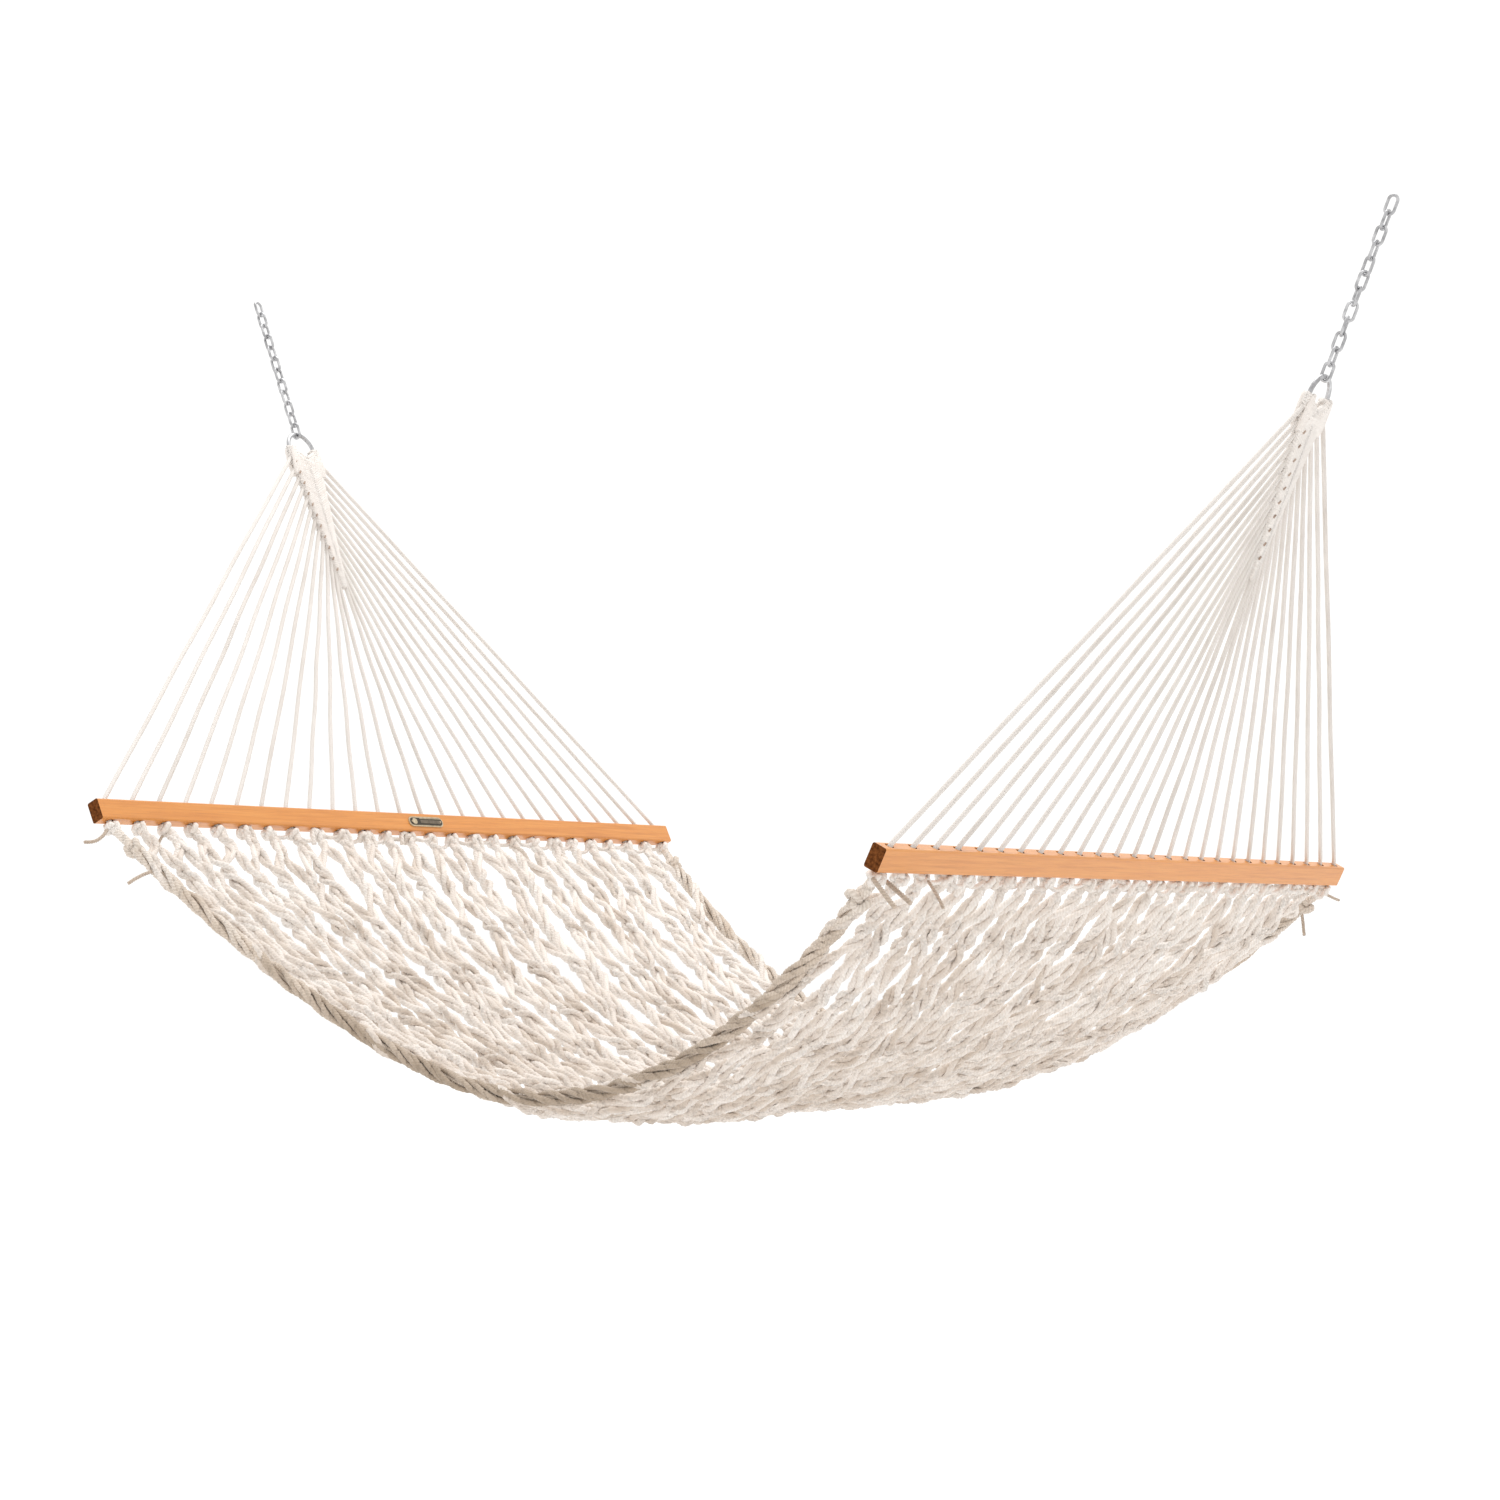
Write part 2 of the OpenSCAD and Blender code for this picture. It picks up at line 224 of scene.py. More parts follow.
# ---------------------------------------------------------------- materials
class Shader:
    """A node material under construction; each method adds one node and returns its output."""

    def __init__(self, name):
        self.material = bpy.data.materials.new(name)
        self.material.use_nodes = True
        self.nodes = self.material.node_tree.nodes
        self.links = self.material.node_tree.links
        self.surface = self.nodes["Principled BSDF"]

    def put(self, socket, value):
        if isinstance(value, bpy.types.NodeSocket):
            self.links.new(value, socket)
        elif isinstance(value, (tuple, list)) and len(value) == 3 and socket.type == "RGBA":
            socket.default_value = (*value, 1)
        else:
            socket.default_value = value

    def set(self, **values):
        for name, value in values.items():
            self.put(self.surface.inputs[name.replace("_", " ")], value)

    def place(self, output="Object"):
        return self.nodes.new("ShaderNodeTexCoord").outputs[output]

    def along_rope(self):
        """Metres along the rope, and turns round it, from its own UV map."""
        uv = self.nodes.new("ShaderNodeUVMap")
        uv.uv_map = "along"
        parts = self.nodes.new("ShaderNodeSeparateXYZ")
        self.put(parts.inputs[0], uv.outputs[0])
        return parts.outputs[0], parts.outputs[1]

    def shade(self):
        node = self.nodes.new("ShaderNodeAttribute")
        node.attribute_name = "shade"
        return node.outputs["Fac"]

    def part(self, vector, axis):
        parts = self.nodes.new("ShaderNodeSeparateXYZ")
        self.put(parts.inputs[0], vector)
        return parts.outputs[axis]

    def sum(self, kind, a, b=0.0, clamp=False):
        node = self.nodes.new("ShaderNodeMath")
        node.operation = kind
        node.use_clamp = clamp
        self.put(node.inputs[0], a)
        self.put(node.inputs[1], b)
        return node.outputs[0]

    def above(self, value, level, gain):
        """How far a value is over a level, times the gain, kept from 0 to 1."""
        return self.sum("MULTIPLY", self.sum("SUBTRACT", value, level, True), gain, True)

    def stretched(self, vector, scale):
        node = self.nodes.new("ShaderNodeMapping")
        self.put(node.inputs["Vector"], vector)
        node.inputs["Scale"].default_value = scale
        return node.outputs[0]

    def noise(self, vector, scale, detail=3.0, roughness=0.55):
        node = self.nodes.new("ShaderNodeTexNoise")
        self.put(node.inputs["Vector"], vector)
        node.inputs["Scale"].default_value = scale
        node.inputs["Detail"].default_value = detail
        node.inputs["Roughness"].default_value = roughness
        return node.outputs["Fac"]

    def ramp(self, value, *stops):
        node = self.nodes.new("ShaderNodeValToRGB")
        self.put(node.inputs[0], value)
        elements = node.color_ramp.elements
        while len(elements) < len(stops):
            elements.new(0.5)
        for element, (where, colour) in zip(elements, stops):
            element.position = where
            element.color = (*colour, 1)
        return node.outputs[0]

    def mix(self, share, a, b):
        node = self.nodes.new("ShaderNodeMix")
        node.data_type = "RGBA"
        self.put(node.inputs[0], share)
        self.put(node.inputs[6], a)
        self.put(node.inputs[7], b)
        return node.outputs[2]

    def bump(self, height, distance, strength=1.0, under=None):
        node = self.nodes.new("ShaderNodeBump")
        node.inputs["Strength"].default_value = strength
        node.inputs["Distance"].default_value = distance
        self.put(node.inputs["Height"], height)
        if under is not None:
            self.put(node.inputs["Normal"], under)
        return node.outputs[0]


def ribs(shader, pitch):
    """0 to 1 wave over a rope's length, leaning with its plies: one whole wave to each ply round it."""
    length, turn = shader.along_rope()
    leaning = shader.sum("MULTIPLY", turn, float(rope_plies))
    waves = shader.sum("ADD", shader.sum("DIVIDE", length, pitch), leaning)
    wave = shader.sum("SINE", shader.sum("MULTIPLY", waves, 2 * math.pi))
    return shader.sum("ADD", shader.sum("MULTIPLY", wave, 0.5), 0.5)


def rope_material(name, light, middle, dark, pitch, relief, painted_groove_shade=0.38):
    """Spun cord: fine slanted ribs of yarn with painted shade in their grooves, patches of light and dark,
    loose fibres and a soft sheen.
    """
    shader = Shader(name)
    place = shader.place()
    rib = ribs(shader, pitch)
    patches = shader.noise(place, 14.0, 4.0)
    fibres = shader.noise(place, 620.0, 2.0)
    # The shade attribute holds each rope's random tone plus painted shade along the bed's lowest stretch.
    tone_and_painted_shade = shader.sum("MULTIPLY", shader.shade(), 0.35)
    tone = shader.sum("ADD", shader.sum("MULTIPLY", patches, 0.75), tone_and_painted_shade)
    base = shader.ramp(tone, (0.25, dark), (0.52, middle), (0.78, light))
    # Painted shade: the colour darkens towards the dark tone in the grooves between the ribs.
    groove_shaded = shader.mix(shader.sum("MULTIPLY", rib, painted_groove_shade), base, dark)
    speckled = shader.mix(shader.sum("MULTIPLY", fibres, 0.22), groove_shaded, light)
    relieved = shader.bump(shader.sum("SUBTRACT", 1.0, rib), relief)
    shader.set(
        Base_Color=speckled, Roughness=0.86, Sheen_Weight=0.25, Sheen_Roughness=0.5,
        Specular_IOR_Level=0.22, Normal=shader.bump(fibres, relief * 0.6, 0.7, relieved))
    return shader.material


def wood_material():
    """Varnished oak along Y: long fine grain, slow colour drift, open pores, and dark bare sawn ends."""
    shader = Shader("varnished_wood")
    place = shader.place()
    grain = shader.noise(shader.stretched(place, (60, 2.2, 60)), 3.2, 5.0, 0.62)
    streaks = shader.noise(shader.stretched(place, (260, 4.5, 260)), 2.6, 3.0, 0.6)
    drift = shader.noise(shader.stretched(place, (4, 1.1, 4)), 2.4, 2.0)
    pores = shader.noise(shader.stretched(place, (900, 22, 900)), 1.7, 2.0)
    face = shader.ramp(
        grain, (0.30, (0.52, 0.178, 0.030)), (0.50, (0.63, 0.240, 0.044)), (0.72, (0.70, 0.300, 0.066)))
    drifting = shader.mix(shader.sum("MULTIPLY", drift, 0.55), face, (0.76, 0.292, 0.044))
    streaked = shader.mix(shader.above(streaks, 0.48, 1.0), drifting, (0.36, 0.135, 0.035))
    pored = shader.mix(shader.above(pores, 0.60, 2.2), streaked, (0.24, 0.085, 0.03))
    facing_along = shader.sum("ABSOLUTE", shader.part(shader.place("Normal"), 1))
    end_share = shader.sum("GREATER_THAN", facing_along, 0.8)
    end_rings = shader.noise(shader.stretched(place, (150, 1, 150)), 1.4, 3.0)
    end = shader.ramp(end_rings, (0.35, (0.070, 0.022, 0.007)), (0.65, (0.20, 0.068, 0.020)))
    varnished = shader.sum("SUBTRACT", 1.0, end_share)
    height = shader.sum("ADD", shader.sum("MULTIPLY", streaks, 0.5), shader.sum("MULTIPLY", pores, -0.5))
    shader.set(
        Base_Color=shader.mix(end_share, pored, end),
        Roughness=shader.sum("ADD", shader.sum("MULTIPLY", streaks, 0.22), 0.30),
        Normal=shader.bump(height, 0.0004, 0.6), Specular_IOR_Level=shader.sum("MULTIPLY", varnished, 0.5),
        Coat_Weight=shader.sum("MULTIPLY", varnished, 0.35), Coat_Roughness=0.22)
    return shader.material


def zinc_material():
    """Plated steel: cloudy grey plating with darker patches, partly stains and partly painted dark
    reflections.
    """
    shader = Shader("zinc_plate")
    place = shader.place()
    cloud = shader.noise(place, 90.0, 4.0)
    fine = shader.noise(place, 900.0, 2.0)
    stain_and_reflection = shader.noise(place, 33.0, 3.0)
    base = shader.ramp(cloud, (0.30, (0.34, 0.34, 0.35)), (0.70, (0.66, 0.66, 0.67)))
    # The darker patches are partly stains and partly painted dark reflections of the surroundings.
    stains_and_reflections = shader.mix(shader.above(stain_and_reflection, 0.52, 2.4), base, (0.14, 0.13, 0.13))
    shader.set(
        Base_Color=stains_and_reflections, Metallic=0.92,
        Roughness=shader.sum("ADD", shader.sum("MULTIPLY", cloud, 0.30), 0.22),
        Normal=shader.bump(fine, 0.00012, 0.5, shader.bump(cloud, 0.0004, 0.35)))
    return shader.material


def badge_material(name, light, dark, metallic, roughness):
    """Aged badge surface: a cloudy patina between two tones, over a fine relief."""
    shader = Shader(name)
    place = shader.place()
    cloud = shader.noise(place, 160.0, 4.0)
    fine = shader.noise(place, 1300.0, 2.0)
    shader.set(
        Base_Color=shader.ramp(cloud, (0.32, dark), (0.68, light)), Metallic=metallic,
        Roughness=shader.sum("ADD", shader.sum("MULTIPLY", fine, 0.2), roughness),
        Normal=shader.bump(fine, 0.00015, 0.5))
    return shader.material


SIDE_ROPE = rope_material(
    "side_rope", (0.87, 0.80, 0.73), (0.66, 0.55, 0.45), (0.36, 0.27, 0.19), 0.0031, 0.0006)
BED_ROPE = rope_material(
    "bed_rope", (0.905, 0.860, 0.815), (0.845, 0.775, 0.715), (0.62, 0.520, 0.435), 0.0031, 0.0005, 0.30)
CLEW_CORD = rope_material(
    "clew_cord", (0.90, 0.855, 0.815), (0.86, 0.805, 0.760), (0.74, 0.670, 0.610), 0.0024, 0.0002, 0.20)
STRING_CORD = rope_material(
    "string_cord", (0.84, 0.795, 0.755), (0.77, 0.72, 0.675), (0.60, 0.545, 0.495), 0.0024, 0.0002, 0.24)
TAIL_ROPE = rope_material(
    "tail_rope", (0.72, 0.61, 0.51), (0.58, 0.465, 0.37), (0.34, 0.25, 0.18), 0.0027, 0.0006, 0.5)
LACING = rope_material(
    "lacing_cord", (0.62, 0.48, 0.39), (0.50, 0.37, 0.29), (0.30, 0.21, 0.155), 0.0016, 0.0003)
WOOD = wood_material()
ZINC = zinc_material()
BADGE_RIM = badge_material("badge_rim", (0.62, 0.52, 0.36), (0.42, 0.33, 0.21), 0.35, 0.38)
BADGE_BAND = badge_material("badge_band", (0.17, 0.135, 0.095), (0.09, 0.07, 0.045), 0.0, 0.6)
BADGE_FIELD = badge_material("badge_field", (0.060, 0.048, 0.032), (0.030, 0.024, 0.015), 0.0, 0.6)


# ---------------------------------------------------------------- rope building
def smooth_line(points, steps=12):
    """A curve through a few chosen points."""
    points = np.asarray(points, float)
    padded = np.vstack([2 * points[0] - points[1], points, 2 * points[-1] - points[-2]])
    t = np.linspace(0, 1, steps, endpoint=False)[:, None]
    pieces = []
    for a, b, c, d in zip(padded[:-3], padded[1:-2], padded[2:-1], padded[3:]):
        bend = (2 * a - 5 * b + 4 * c - d) * t**2 + (3 * b - a - 3 * c + d) * t**3
        pieces.append(0.5 * (2 * b + (c - a) * t + bend))
    pieces.append(points[-1:])
    return np.vstack(pieces)


def even_line(points, spacing):
    """The same line with evenly spaced points, and how far along each one is."""
    points = np.asarray(points, float)
    walked = np.concatenate(([0.0], np.cumsum(np.linalg.norm(np.diff(points, axis=0), axis=1))))
    count = max(4, int(round(walked[-1] / spacing)) + 1)
    stops = np.linspace(0, walked[-1], count)
    return np.stack([np.interp(stops, walked, points[:, axis]) for axis in range(3)], axis=1), stops


def carried_axes(points):
    """Two directions square to the line at each point, carried along it without spin."""
    ahead = np.gradient(points, axis=0)
    ahead /= np.linalg.norm(ahead, axis=1)[:, None]
    first = np.empty_like(points)
    start = np.cross(ahead[0], (0.31, 0.22, 0.92))
    first[0] = start / math.sqrt(start @ start)
    for i in range(1, len(points)):
        turned = first[i - 1] - ahead[i] * (first[i - 1] @ ahead[i])
        first[i] = turned / math.sqrt(turned @ turned)
    return first, np.cross(ahead, first)


class Ropes:
    """Several ropes gathered into one mesh. Each is a twisted, lobed section swept along its line."""

    def __init__(self):
        self.points = []
        self.corners = []
        self.sizes = []
        self.uvs = []
        self.shades = []
        self.count = 0

    def add(self, line, radius, lay=0.028, groove=0.24, sides=9, spacing=0.0034, shade=0.5):
        """Sweeps one rope. The shade is one number, or several from its first end to its last."""
        line, stops = even_line(line, spacing)
        first, second = carried_axes(line)
        turn = 2 * math.pi * stops / lay
        angles = 2 * math.pi * np.arange(sides) / sides
        reach = radius * (1 - groove + groove * np.abs(np.cos(rope_plies * angles / 2)))
        swept = angles[None, :] + turn[:, None]
        ring = first[:, None, :] * np.cos(swept)[..., None] + second[:, None, :] * np.sin(swept)[..., None]
        rings = len(line)
        self.points.append((line[:, None, :] + ring * reach[None, :, None]).reshape(-1, 3))
        i, j = np.meshgrid(np.arange(rings - 1), np.arange(sides), indexing="ij")
        k = (j + 1) % sides
        quads = np.stack([i * sides + j, i * sides + k, (i + 1) * sides + k, (i + 1) * sides + j], axis=-1)
        caps = np.concatenate([np.arange(sides)[::-1], (rings - 1) * sides + np.arange(sides)])
        self.corners.append(np.concatenate([quads.reshape(-1), caps]) + self.count)
        self.sizes.append(np.concatenate([np.full(quads.size // 4, 4), [sides, sides]]))
        turns = np.stack([j, j + 1, j + 1, j], axis=-1) / sides
        lengths = np.stack([stops[i], stops[i], stops[i + 1], stops[i + 1]], axis=-1)
        self.uvs.append(np.stack([lengths, turns], axis=-1).reshape(-1, 2))
        cap_uv = np.zeros((2 * sides, 2))
        cap_uv[sides:, 0] = stops[-1]
        self.uvs.append(cap_uv)
        toned = np.interp(np.linspace(0, 1, rings), np.linspace(0, 1, np.size(shade)), np.atleast_1d(shade))
        self.shades.append(np.repeat(toned, sides))
        self.count += rings * sides

    def make(self, name, material, body, slot, *stands_for):
        """The finished piece, riding on a body and showing in place of the CAD nodes named."""
        mesh = bpy.data.meshes.new(name)
        corners = np.concatenate(self.corners).astype(np.int32)
        sizes = np.concatenate(self.sizes).astype(np.int32)
        mesh.vertices.add(self.count)
        mesh.vertices.foreach_set("co", np.concatenate(self.points).ravel())
        mesh.loops.add(len(corners))
        mesh.loops.foreach_set("vertex_index", corners)
        mesh.polygons.add(len(sizes))
        starts = np.concatenate(([0], np.cumsum(sizes)[:-1]))
        mesh.polygons.foreach_set("loop_start", starts.astype(np.int32))
        mesh.polygons.foreach_set("use_smooth", np.ones(len(sizes), bool))
        uv = mesh.uv_layers.new(name="along")
        uv.data.foreach_set("uv", np.concatenate(self.uvs).ravel())
        shade = mesh.attributes.new("shade", "FLOAT", "POINT")
        shade.data.foreach_set("value", np.concatenate(self.shades))
        mesh.update()
        mesh.materials.append(material)
        piece = bpy.data.objects.new(name, mesh)
        scene.collection.objects.link(piece)
        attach(piece, body)
        if stands_for:
            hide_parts(*stands_for)
        return piece


# ---------------------------------------------------------------- loose rope ends
def millimetres(*points):
    return np.array(points, float) / 1000


TAIL_LEFT_CORNER = millimetres(
    [452, -693, -927], [457, -702, -933], [460, -711, -938], [462, -720, -942], [463, -728, -944],
    [463, -736, -945], [463, -744, -945])
TAIL_LEFT_EDGE = millimetres(
    [520, -661, -982], [523, -673, -985], [525, -685, -988], [527, -697, -992], [528, -707, -996],
    [529, -717, -1001])
TAIL_LEFT_INNER = millimetres([447, -578, -933], [450, -585, -939], [454, -592, -945], [459, -600, -951])
TAIL_RIGHT_CORNER = millimetres(
    [1788, -694, -926], [1800, -700, -934], [1812, -706, -942], [1824, -712, -950], [1836, -717, -958])
TAIL_RIGHT_SECOND = millimetres(
    [1781, -652, -929], [1794, -658, -935], [1807, -664, -941], [1820, -670, -947], [1832, -675, -953])
TAIL_RIGHT_INNER = millimetres(
    [1795, -575, -927], [1806, -582, -935], [1816, -588, -943], [1825, -593, -951], [1832, -597, -959])
TAIL_FAR_CORNER = millimetres(
    [1777, 691, -929], [1780, 701, -934], [1783, 711, -937], [1786, 721, -940], [1789, 730, -942])
TAIL_FAR_EDGE = millimetres(
    [1750, 672, -967], [1749, 678, -975], [1748, 684, -984], [1747, 689, -993], [1747, 693, -1002])


def loose_end(node, route, diameter, body):
    """One cut rope end. Its line is the route that the CAD part gives it."""
    ropes = Ropes()
    ropes.add(smooth_line(route, 6), diameter / 2, lay=0.013, groove=0.34, sides=12, spacing=0.0013)
    piece = ropes.make("rope_" + node, TAIL_ROPE, body, "bed_rope", node)


loose_end("tail_left_corner", TAIL_LEFT_CORNER, 0.0058, "left_bar")
loose_end("tail_left_edge", TAIL_LEFT_EDGE, 0.0058, "bed")
loose_end("tail_left_inner", TAIL_LEFT_INNER, 0.0050, "bed")
loose_end("tail_right_corner", TAIL_RIGHT_CORNER, 0.0068, "right_bar")
loose_end("tail_right_second", TAIL_RIGHT_SECOND, 0.0068, "right_bar")
loose_end("tail_right_inner", TAIL_RIGHT_INNER, 0.0050, "right_bar")
loose_end("tail_far_corner", TAIL_FAR_CORNER, 0.0050, "right_bar")
loose_end("tail_far_edge", TAIL_FAR_EDGE, 0.0058, "bed")


# ---------------------------------------------------------------- the bed's surface
KNOT_LINE = {side: knot_middle(side, 0) * np.array([1, 0, 1]) for side in (LEFT, RIGHT)}


def half_width(s):
    """How far from the bed's middle line the middles of its side ropes run."""
    return half_across * (1 - side_rope_draw_in * (1 - s * s))


def bed_point(s, v):
    """A place in the bed. s goes from -1 at the left knots to 1 at the right ones, and v from -1 at the
    near side rope to 1 at the far one."""
    reach = np.minimum(np.abs(s), 1)
    v = v + strand_drift * (1 - reach**2) * (1 - v * v)
    edge_low = edge_sag * (1 - reach**edge_curve) * (1 + sag_shift * s)
    belly = middle_sag * (1 - reach**middle_curve) * (1 + middle_shift * s)
    low = edge_low + belly * (1 - np.abs(v) ** across_curve)
    share = (s + 1) / 2
    x = KNOT_LINE[LEFT][0] + share * (KNOT_LINE[RIGHT][0] - KNOT_LINE[LEFT][0])
    z = KNOT_LINE[LEFT][2] + share * (KNOT_LINE[RIGHT][2] - KNOT_LINE[LEFT][2]) - low
    return np.stack([x, v * half_width(s), z], axis=-1)


def bed_normal(s, v):
    step = 0.001
    along = bed_point(s + step, v) - bed_point(s - step, v)
    across = bed_point(s, v + step) - bed_point(s, v - step)
    normal = np.cross(along, across)
    return normal / np.linalg.norm(normal, axis=-1)[..., None]


survey = np.linspace(-1, 1, 401)
survey_steps = np.linalg.norm(np.diff(bed_point(survey, np.full(401, 0.6)), axis=0), axis=1)
survey_walked = np.concatenate(([0.0], np.cumsum(survey_steps)))
bed_run = survey_walked[-1]


def station(share):
    """The s of a place that is this share of the way along the bed's own length."""
    return np.interp(np.asarray(share) * bed_run, survey_walked, survey)


def smooth_step(x):
    return x * x * (3 - 2 * x)


def eased(line, width):
    """Rounds a line's corners with a moving average, its ends left where they are."""
    reach = width // 2
    padded = np.vstack([np.repeat(line[:1], reach, 0), line, np.repeat(line[-1:], reach, 0)])
    kernel = np.ones(2 * reach + 1) / (2 * reach + 1)
    soft = np.stack([np.convolve(padded[:, axis], kernel, "valid") for axis in range(3)], axis=1)
    soft[0] = line[0]
    soft[-1] = line[-1]
    return soft


# ---------------------------------------------------------------- the net
dice = np.random.RandomState(11)
columns = net_strands + 1
NODE_SHIFT = dice.uniform(-0.08, 0.08, (net_rows + 1, columns))
NODE_ACROSS = dice.uniform(-0.0085, 0.0085, (net_rows + 1, columns))
NODE_LIFT = dice.uniform(-0.004, 0.004, (net_rows + 1, columns))
NODE_REACH = dice.uniform(0.20, 0.27, (net_rows + 1, columns))
NODE_SENSE = dice.choice((-1.0, 1.0), (net_rows + 1, columns))
BOW_ACROSS = dice.uniform(-0.006, 0.006, (net_rows + 1, net_strands))
BOW_LIFT = dice.uniform(-0.005, 0.005, (net_rows + 1, net_strands))
for fixed in (NODE_SHIFT, NODE_ACROSS, NODE_LIFT):
    fixed[0] = 0
    fixed[net_rows] = 0
NODE_REACH[0] = dice.uniform(0.30, 0.42, columns)
NODE_REACH[net_rows] = dice.uniform(0.30, 0.42, columns)
for edge_column in (0, net_strands):
    NODE_ACROSS[:, edge_column] = 0
    NODE_LIFT[:, edge_column] = 0
    NODE_REACH[:, edge_column] = 0.38
    NODE_SENSE[:, edge_column] = 1
TWIN_START = dice.uniform(0, 2 * math.pi, net_strands)
TWIN_TURNS = dice.uniform(14, 19, net_strands) * dice.choice((-1.0, 1.0), net_strands)


def column_place(row, column):
    """How far across the bed a column of nodes lies at a row, from -1 to 1; columns run from -1."""
    at_bar = -1 + hole_pitch / half_across * (1 + column / 2)
    inside = -1 + 2 * (column + 1) / net_strands
    return at_bar + (inside - at_bar) * min(row, net_rows - row, 1)


def between(first, last, share):
    return first + (last - first) * share


def strand_line(strand, twin):
    """One of a strand's two ropes. The strand twists once round each neighbour in turn, or the side rope."""
    times = []
    offsets = []
    lifts = []
    places = []
    last_time = None
    for row in range(net_rows + 1):
        column = strand - (strand + row) % 2
        member = -1.0 if column == strand else 1.0
        slot = column + 1
        middle = row + NODE_SHIFT[row, slot]
        reach = NODE_REACH[row, slot]
        start = middle - reach if row > 0 else 0.0
        end = middle + reach if row < net_rows else float(net_rows)
        radius = edge_wrap_radius if slot in (0, net_strands) else pair_radius
        if row in (0, net_rows):
            radius = gathered_radius
        u = np.linspace(0, 1, twist_steps)
        angle = 2 * math.pi * NODE_SENSE[row, slot] * u
        across = NODE_ACROSS[row, slot] + member * radius * np.cos(angle)
        lift = NODE_LIFT[row, slot] + member * radius * np.sin(angle)
        place = np.full(twist_steps, column_place(row, column))
        if last_time is not None:
            gap = np.linspace(0, 1, twist_steps)[1:-1]
            blend = 0.75 * gap + 0.25 * smooth_step(gap)
            bow = np.sin(math.pi * gap) ** 2
            times.append(last_time + (start - last_time) * gap)
            places.append(between(places[-1][-1], place[0], blend))
            offsets.append(between(offsets[-1][-1], across[0], blend) + BOW_ACROSS[row, strand] * bow)
            lifts.append(between(lifts[-1][-1], lift[0], blend) + BOW_LIFT[row, strand] * bow)
        times.append(start + (end - start) * u)
        offsets.append(across)
        lifts.append(lift)
        places.append(place)
        last_time = end
    share = np.concatenate(times) / net_rows
    turn = TWIN_START[strand] + 2 * math.pi * TWIN_TURNS[strand] * share
    apart = twin_radius * np.clip(np.minimum(share, 1 - share) / gathered_share, 0.3, 1)
    beside = twin * apart * np.cos(turn)
    above = twin * apart * np.sin(turn)
    s = station(share)
    v = np.concatenate(places) + (np.concatenate(offsets) + beside) / half_width(s)
    line = bed_point(s, v) + (np.concatenate(lifts) + above)[:, None] * bed_normal(s, v)
    return eased(eased(line, 7), 7)


def with_painted_low_shade(shade, depth):
    """A rope's shade value from its left end to its right one, with painted shade that darkens it along the
    bed's lowest stretch.
    """
    s = station(np.linspace(0, 1, 60))
    return shade - depth * (1 - s**2) * (1 + 0.5 * s)


def make_net():
    for first in range(0, net_strands, strands_in_a_piece):
        ropes = Ropes()
        for strand in range(first, first + strands_in_a_piece):
            for twin in (-1, 1):
                # Each rope gets a random tone plus painted shade along the bed's lowest stretch.
                ropes.add(
                    strand_line(strand, twin), net_rope_radius, lay=0.024, sides=8, spacing=0.0038,
                    shade=with_painted_low_shade(dice.uniform(0, 1), 0.36))
        name = "net_ropes_%d" % (first // strands_in_a_piece + 1)
        nodes = ("bed_net",) if first == 0 else ()
        ropes.make(name, BED_ROPE, "bed", "bed_rope", *nodes)


def make_side_rope(v, name, node, painted_shade_depth):
    """Several cords laid loosely round a core along the bed's edge, with painted shade along its lowest
    stretch.
    """
    ropes = Ropes()
    share = np.linspace(0, 1, 700)
    s = station(share)
    middle = bed_point(s, np.full_like(s, v))
    lift = bed_normal(s, np.full_like(s, v))
    ahead = np.gradient(middle, axis=0)
    ahead /= np.linalg.norm(ahead, axis=1)[:, None]
    across = np.cross(lift, ahead)
    from_end = np.minimum(share, 1 - share) * bed_run
    tapered = 0.45 + 0.55 * np.clip((from_end - side_taper_start) / side_taper_run, 0, 1)
    for ply in range(side_cord_count):
        swing = 0.55 * np.sin(share * dice.uniform(25, 45) + dice.uniform(0, 6))
        angle = 2 * math.pi * (share * bed_run / side_lay + ply / side_cord_count) + swing
        slack = 1 + 0.16 * np.sin(share * dice.uniform(30, 60) + dice.uniform(0, 6))
        radius = side_helix_radius * tapered * slack
        line = middle + radius[:, None] * (np.cos(angle)[:, None] * across + np.sin(angle)[:, None] * lift)
        shade = with_painted_low_shade(dice.uniform(0.75, 1.15), painted_shade_depth)
        ropes.add(line, side_cord_radius, lay=0.022, sides=8, shade=shade)
    ropes.add(middle, side_cord_radius, sides=8, shade=0.1)
    ropes.make(name, SIDE_ROPE, "bed", "bed_rope", node)


# ---------------------------------------------------------------- knots
def knot_line(middle, axis, size, height, turn):
    """A closed overhand knot round an axis."""
    axis = np.asarray(axis, float) / np.linalg.norm(axis)
    side = np.cross(axis, (0.2, 0.1, 0.97) if abs(axis[2]) < 0.9 else (1, 0, 0))
    side /= np.linalg.norm(side)
    third = np.cross(axis, side)
    u = np.linspace(0, 2 * math.pi, 90)
    x = np.sin(u) + 2 * np.sin(2 * u)
    y = np.cos(u) - 2 * np.cos(2 * u)
    z = -np.sin(3 * u)
    a = math.cos(turn) * side + math.sin(turn) * third
    b = math.cos(turn) * third - math.sin(turn) * side
    return middle + size / 3 * (x[:, None] * a + y[:, None] * b) + height * z[:, None] * axis


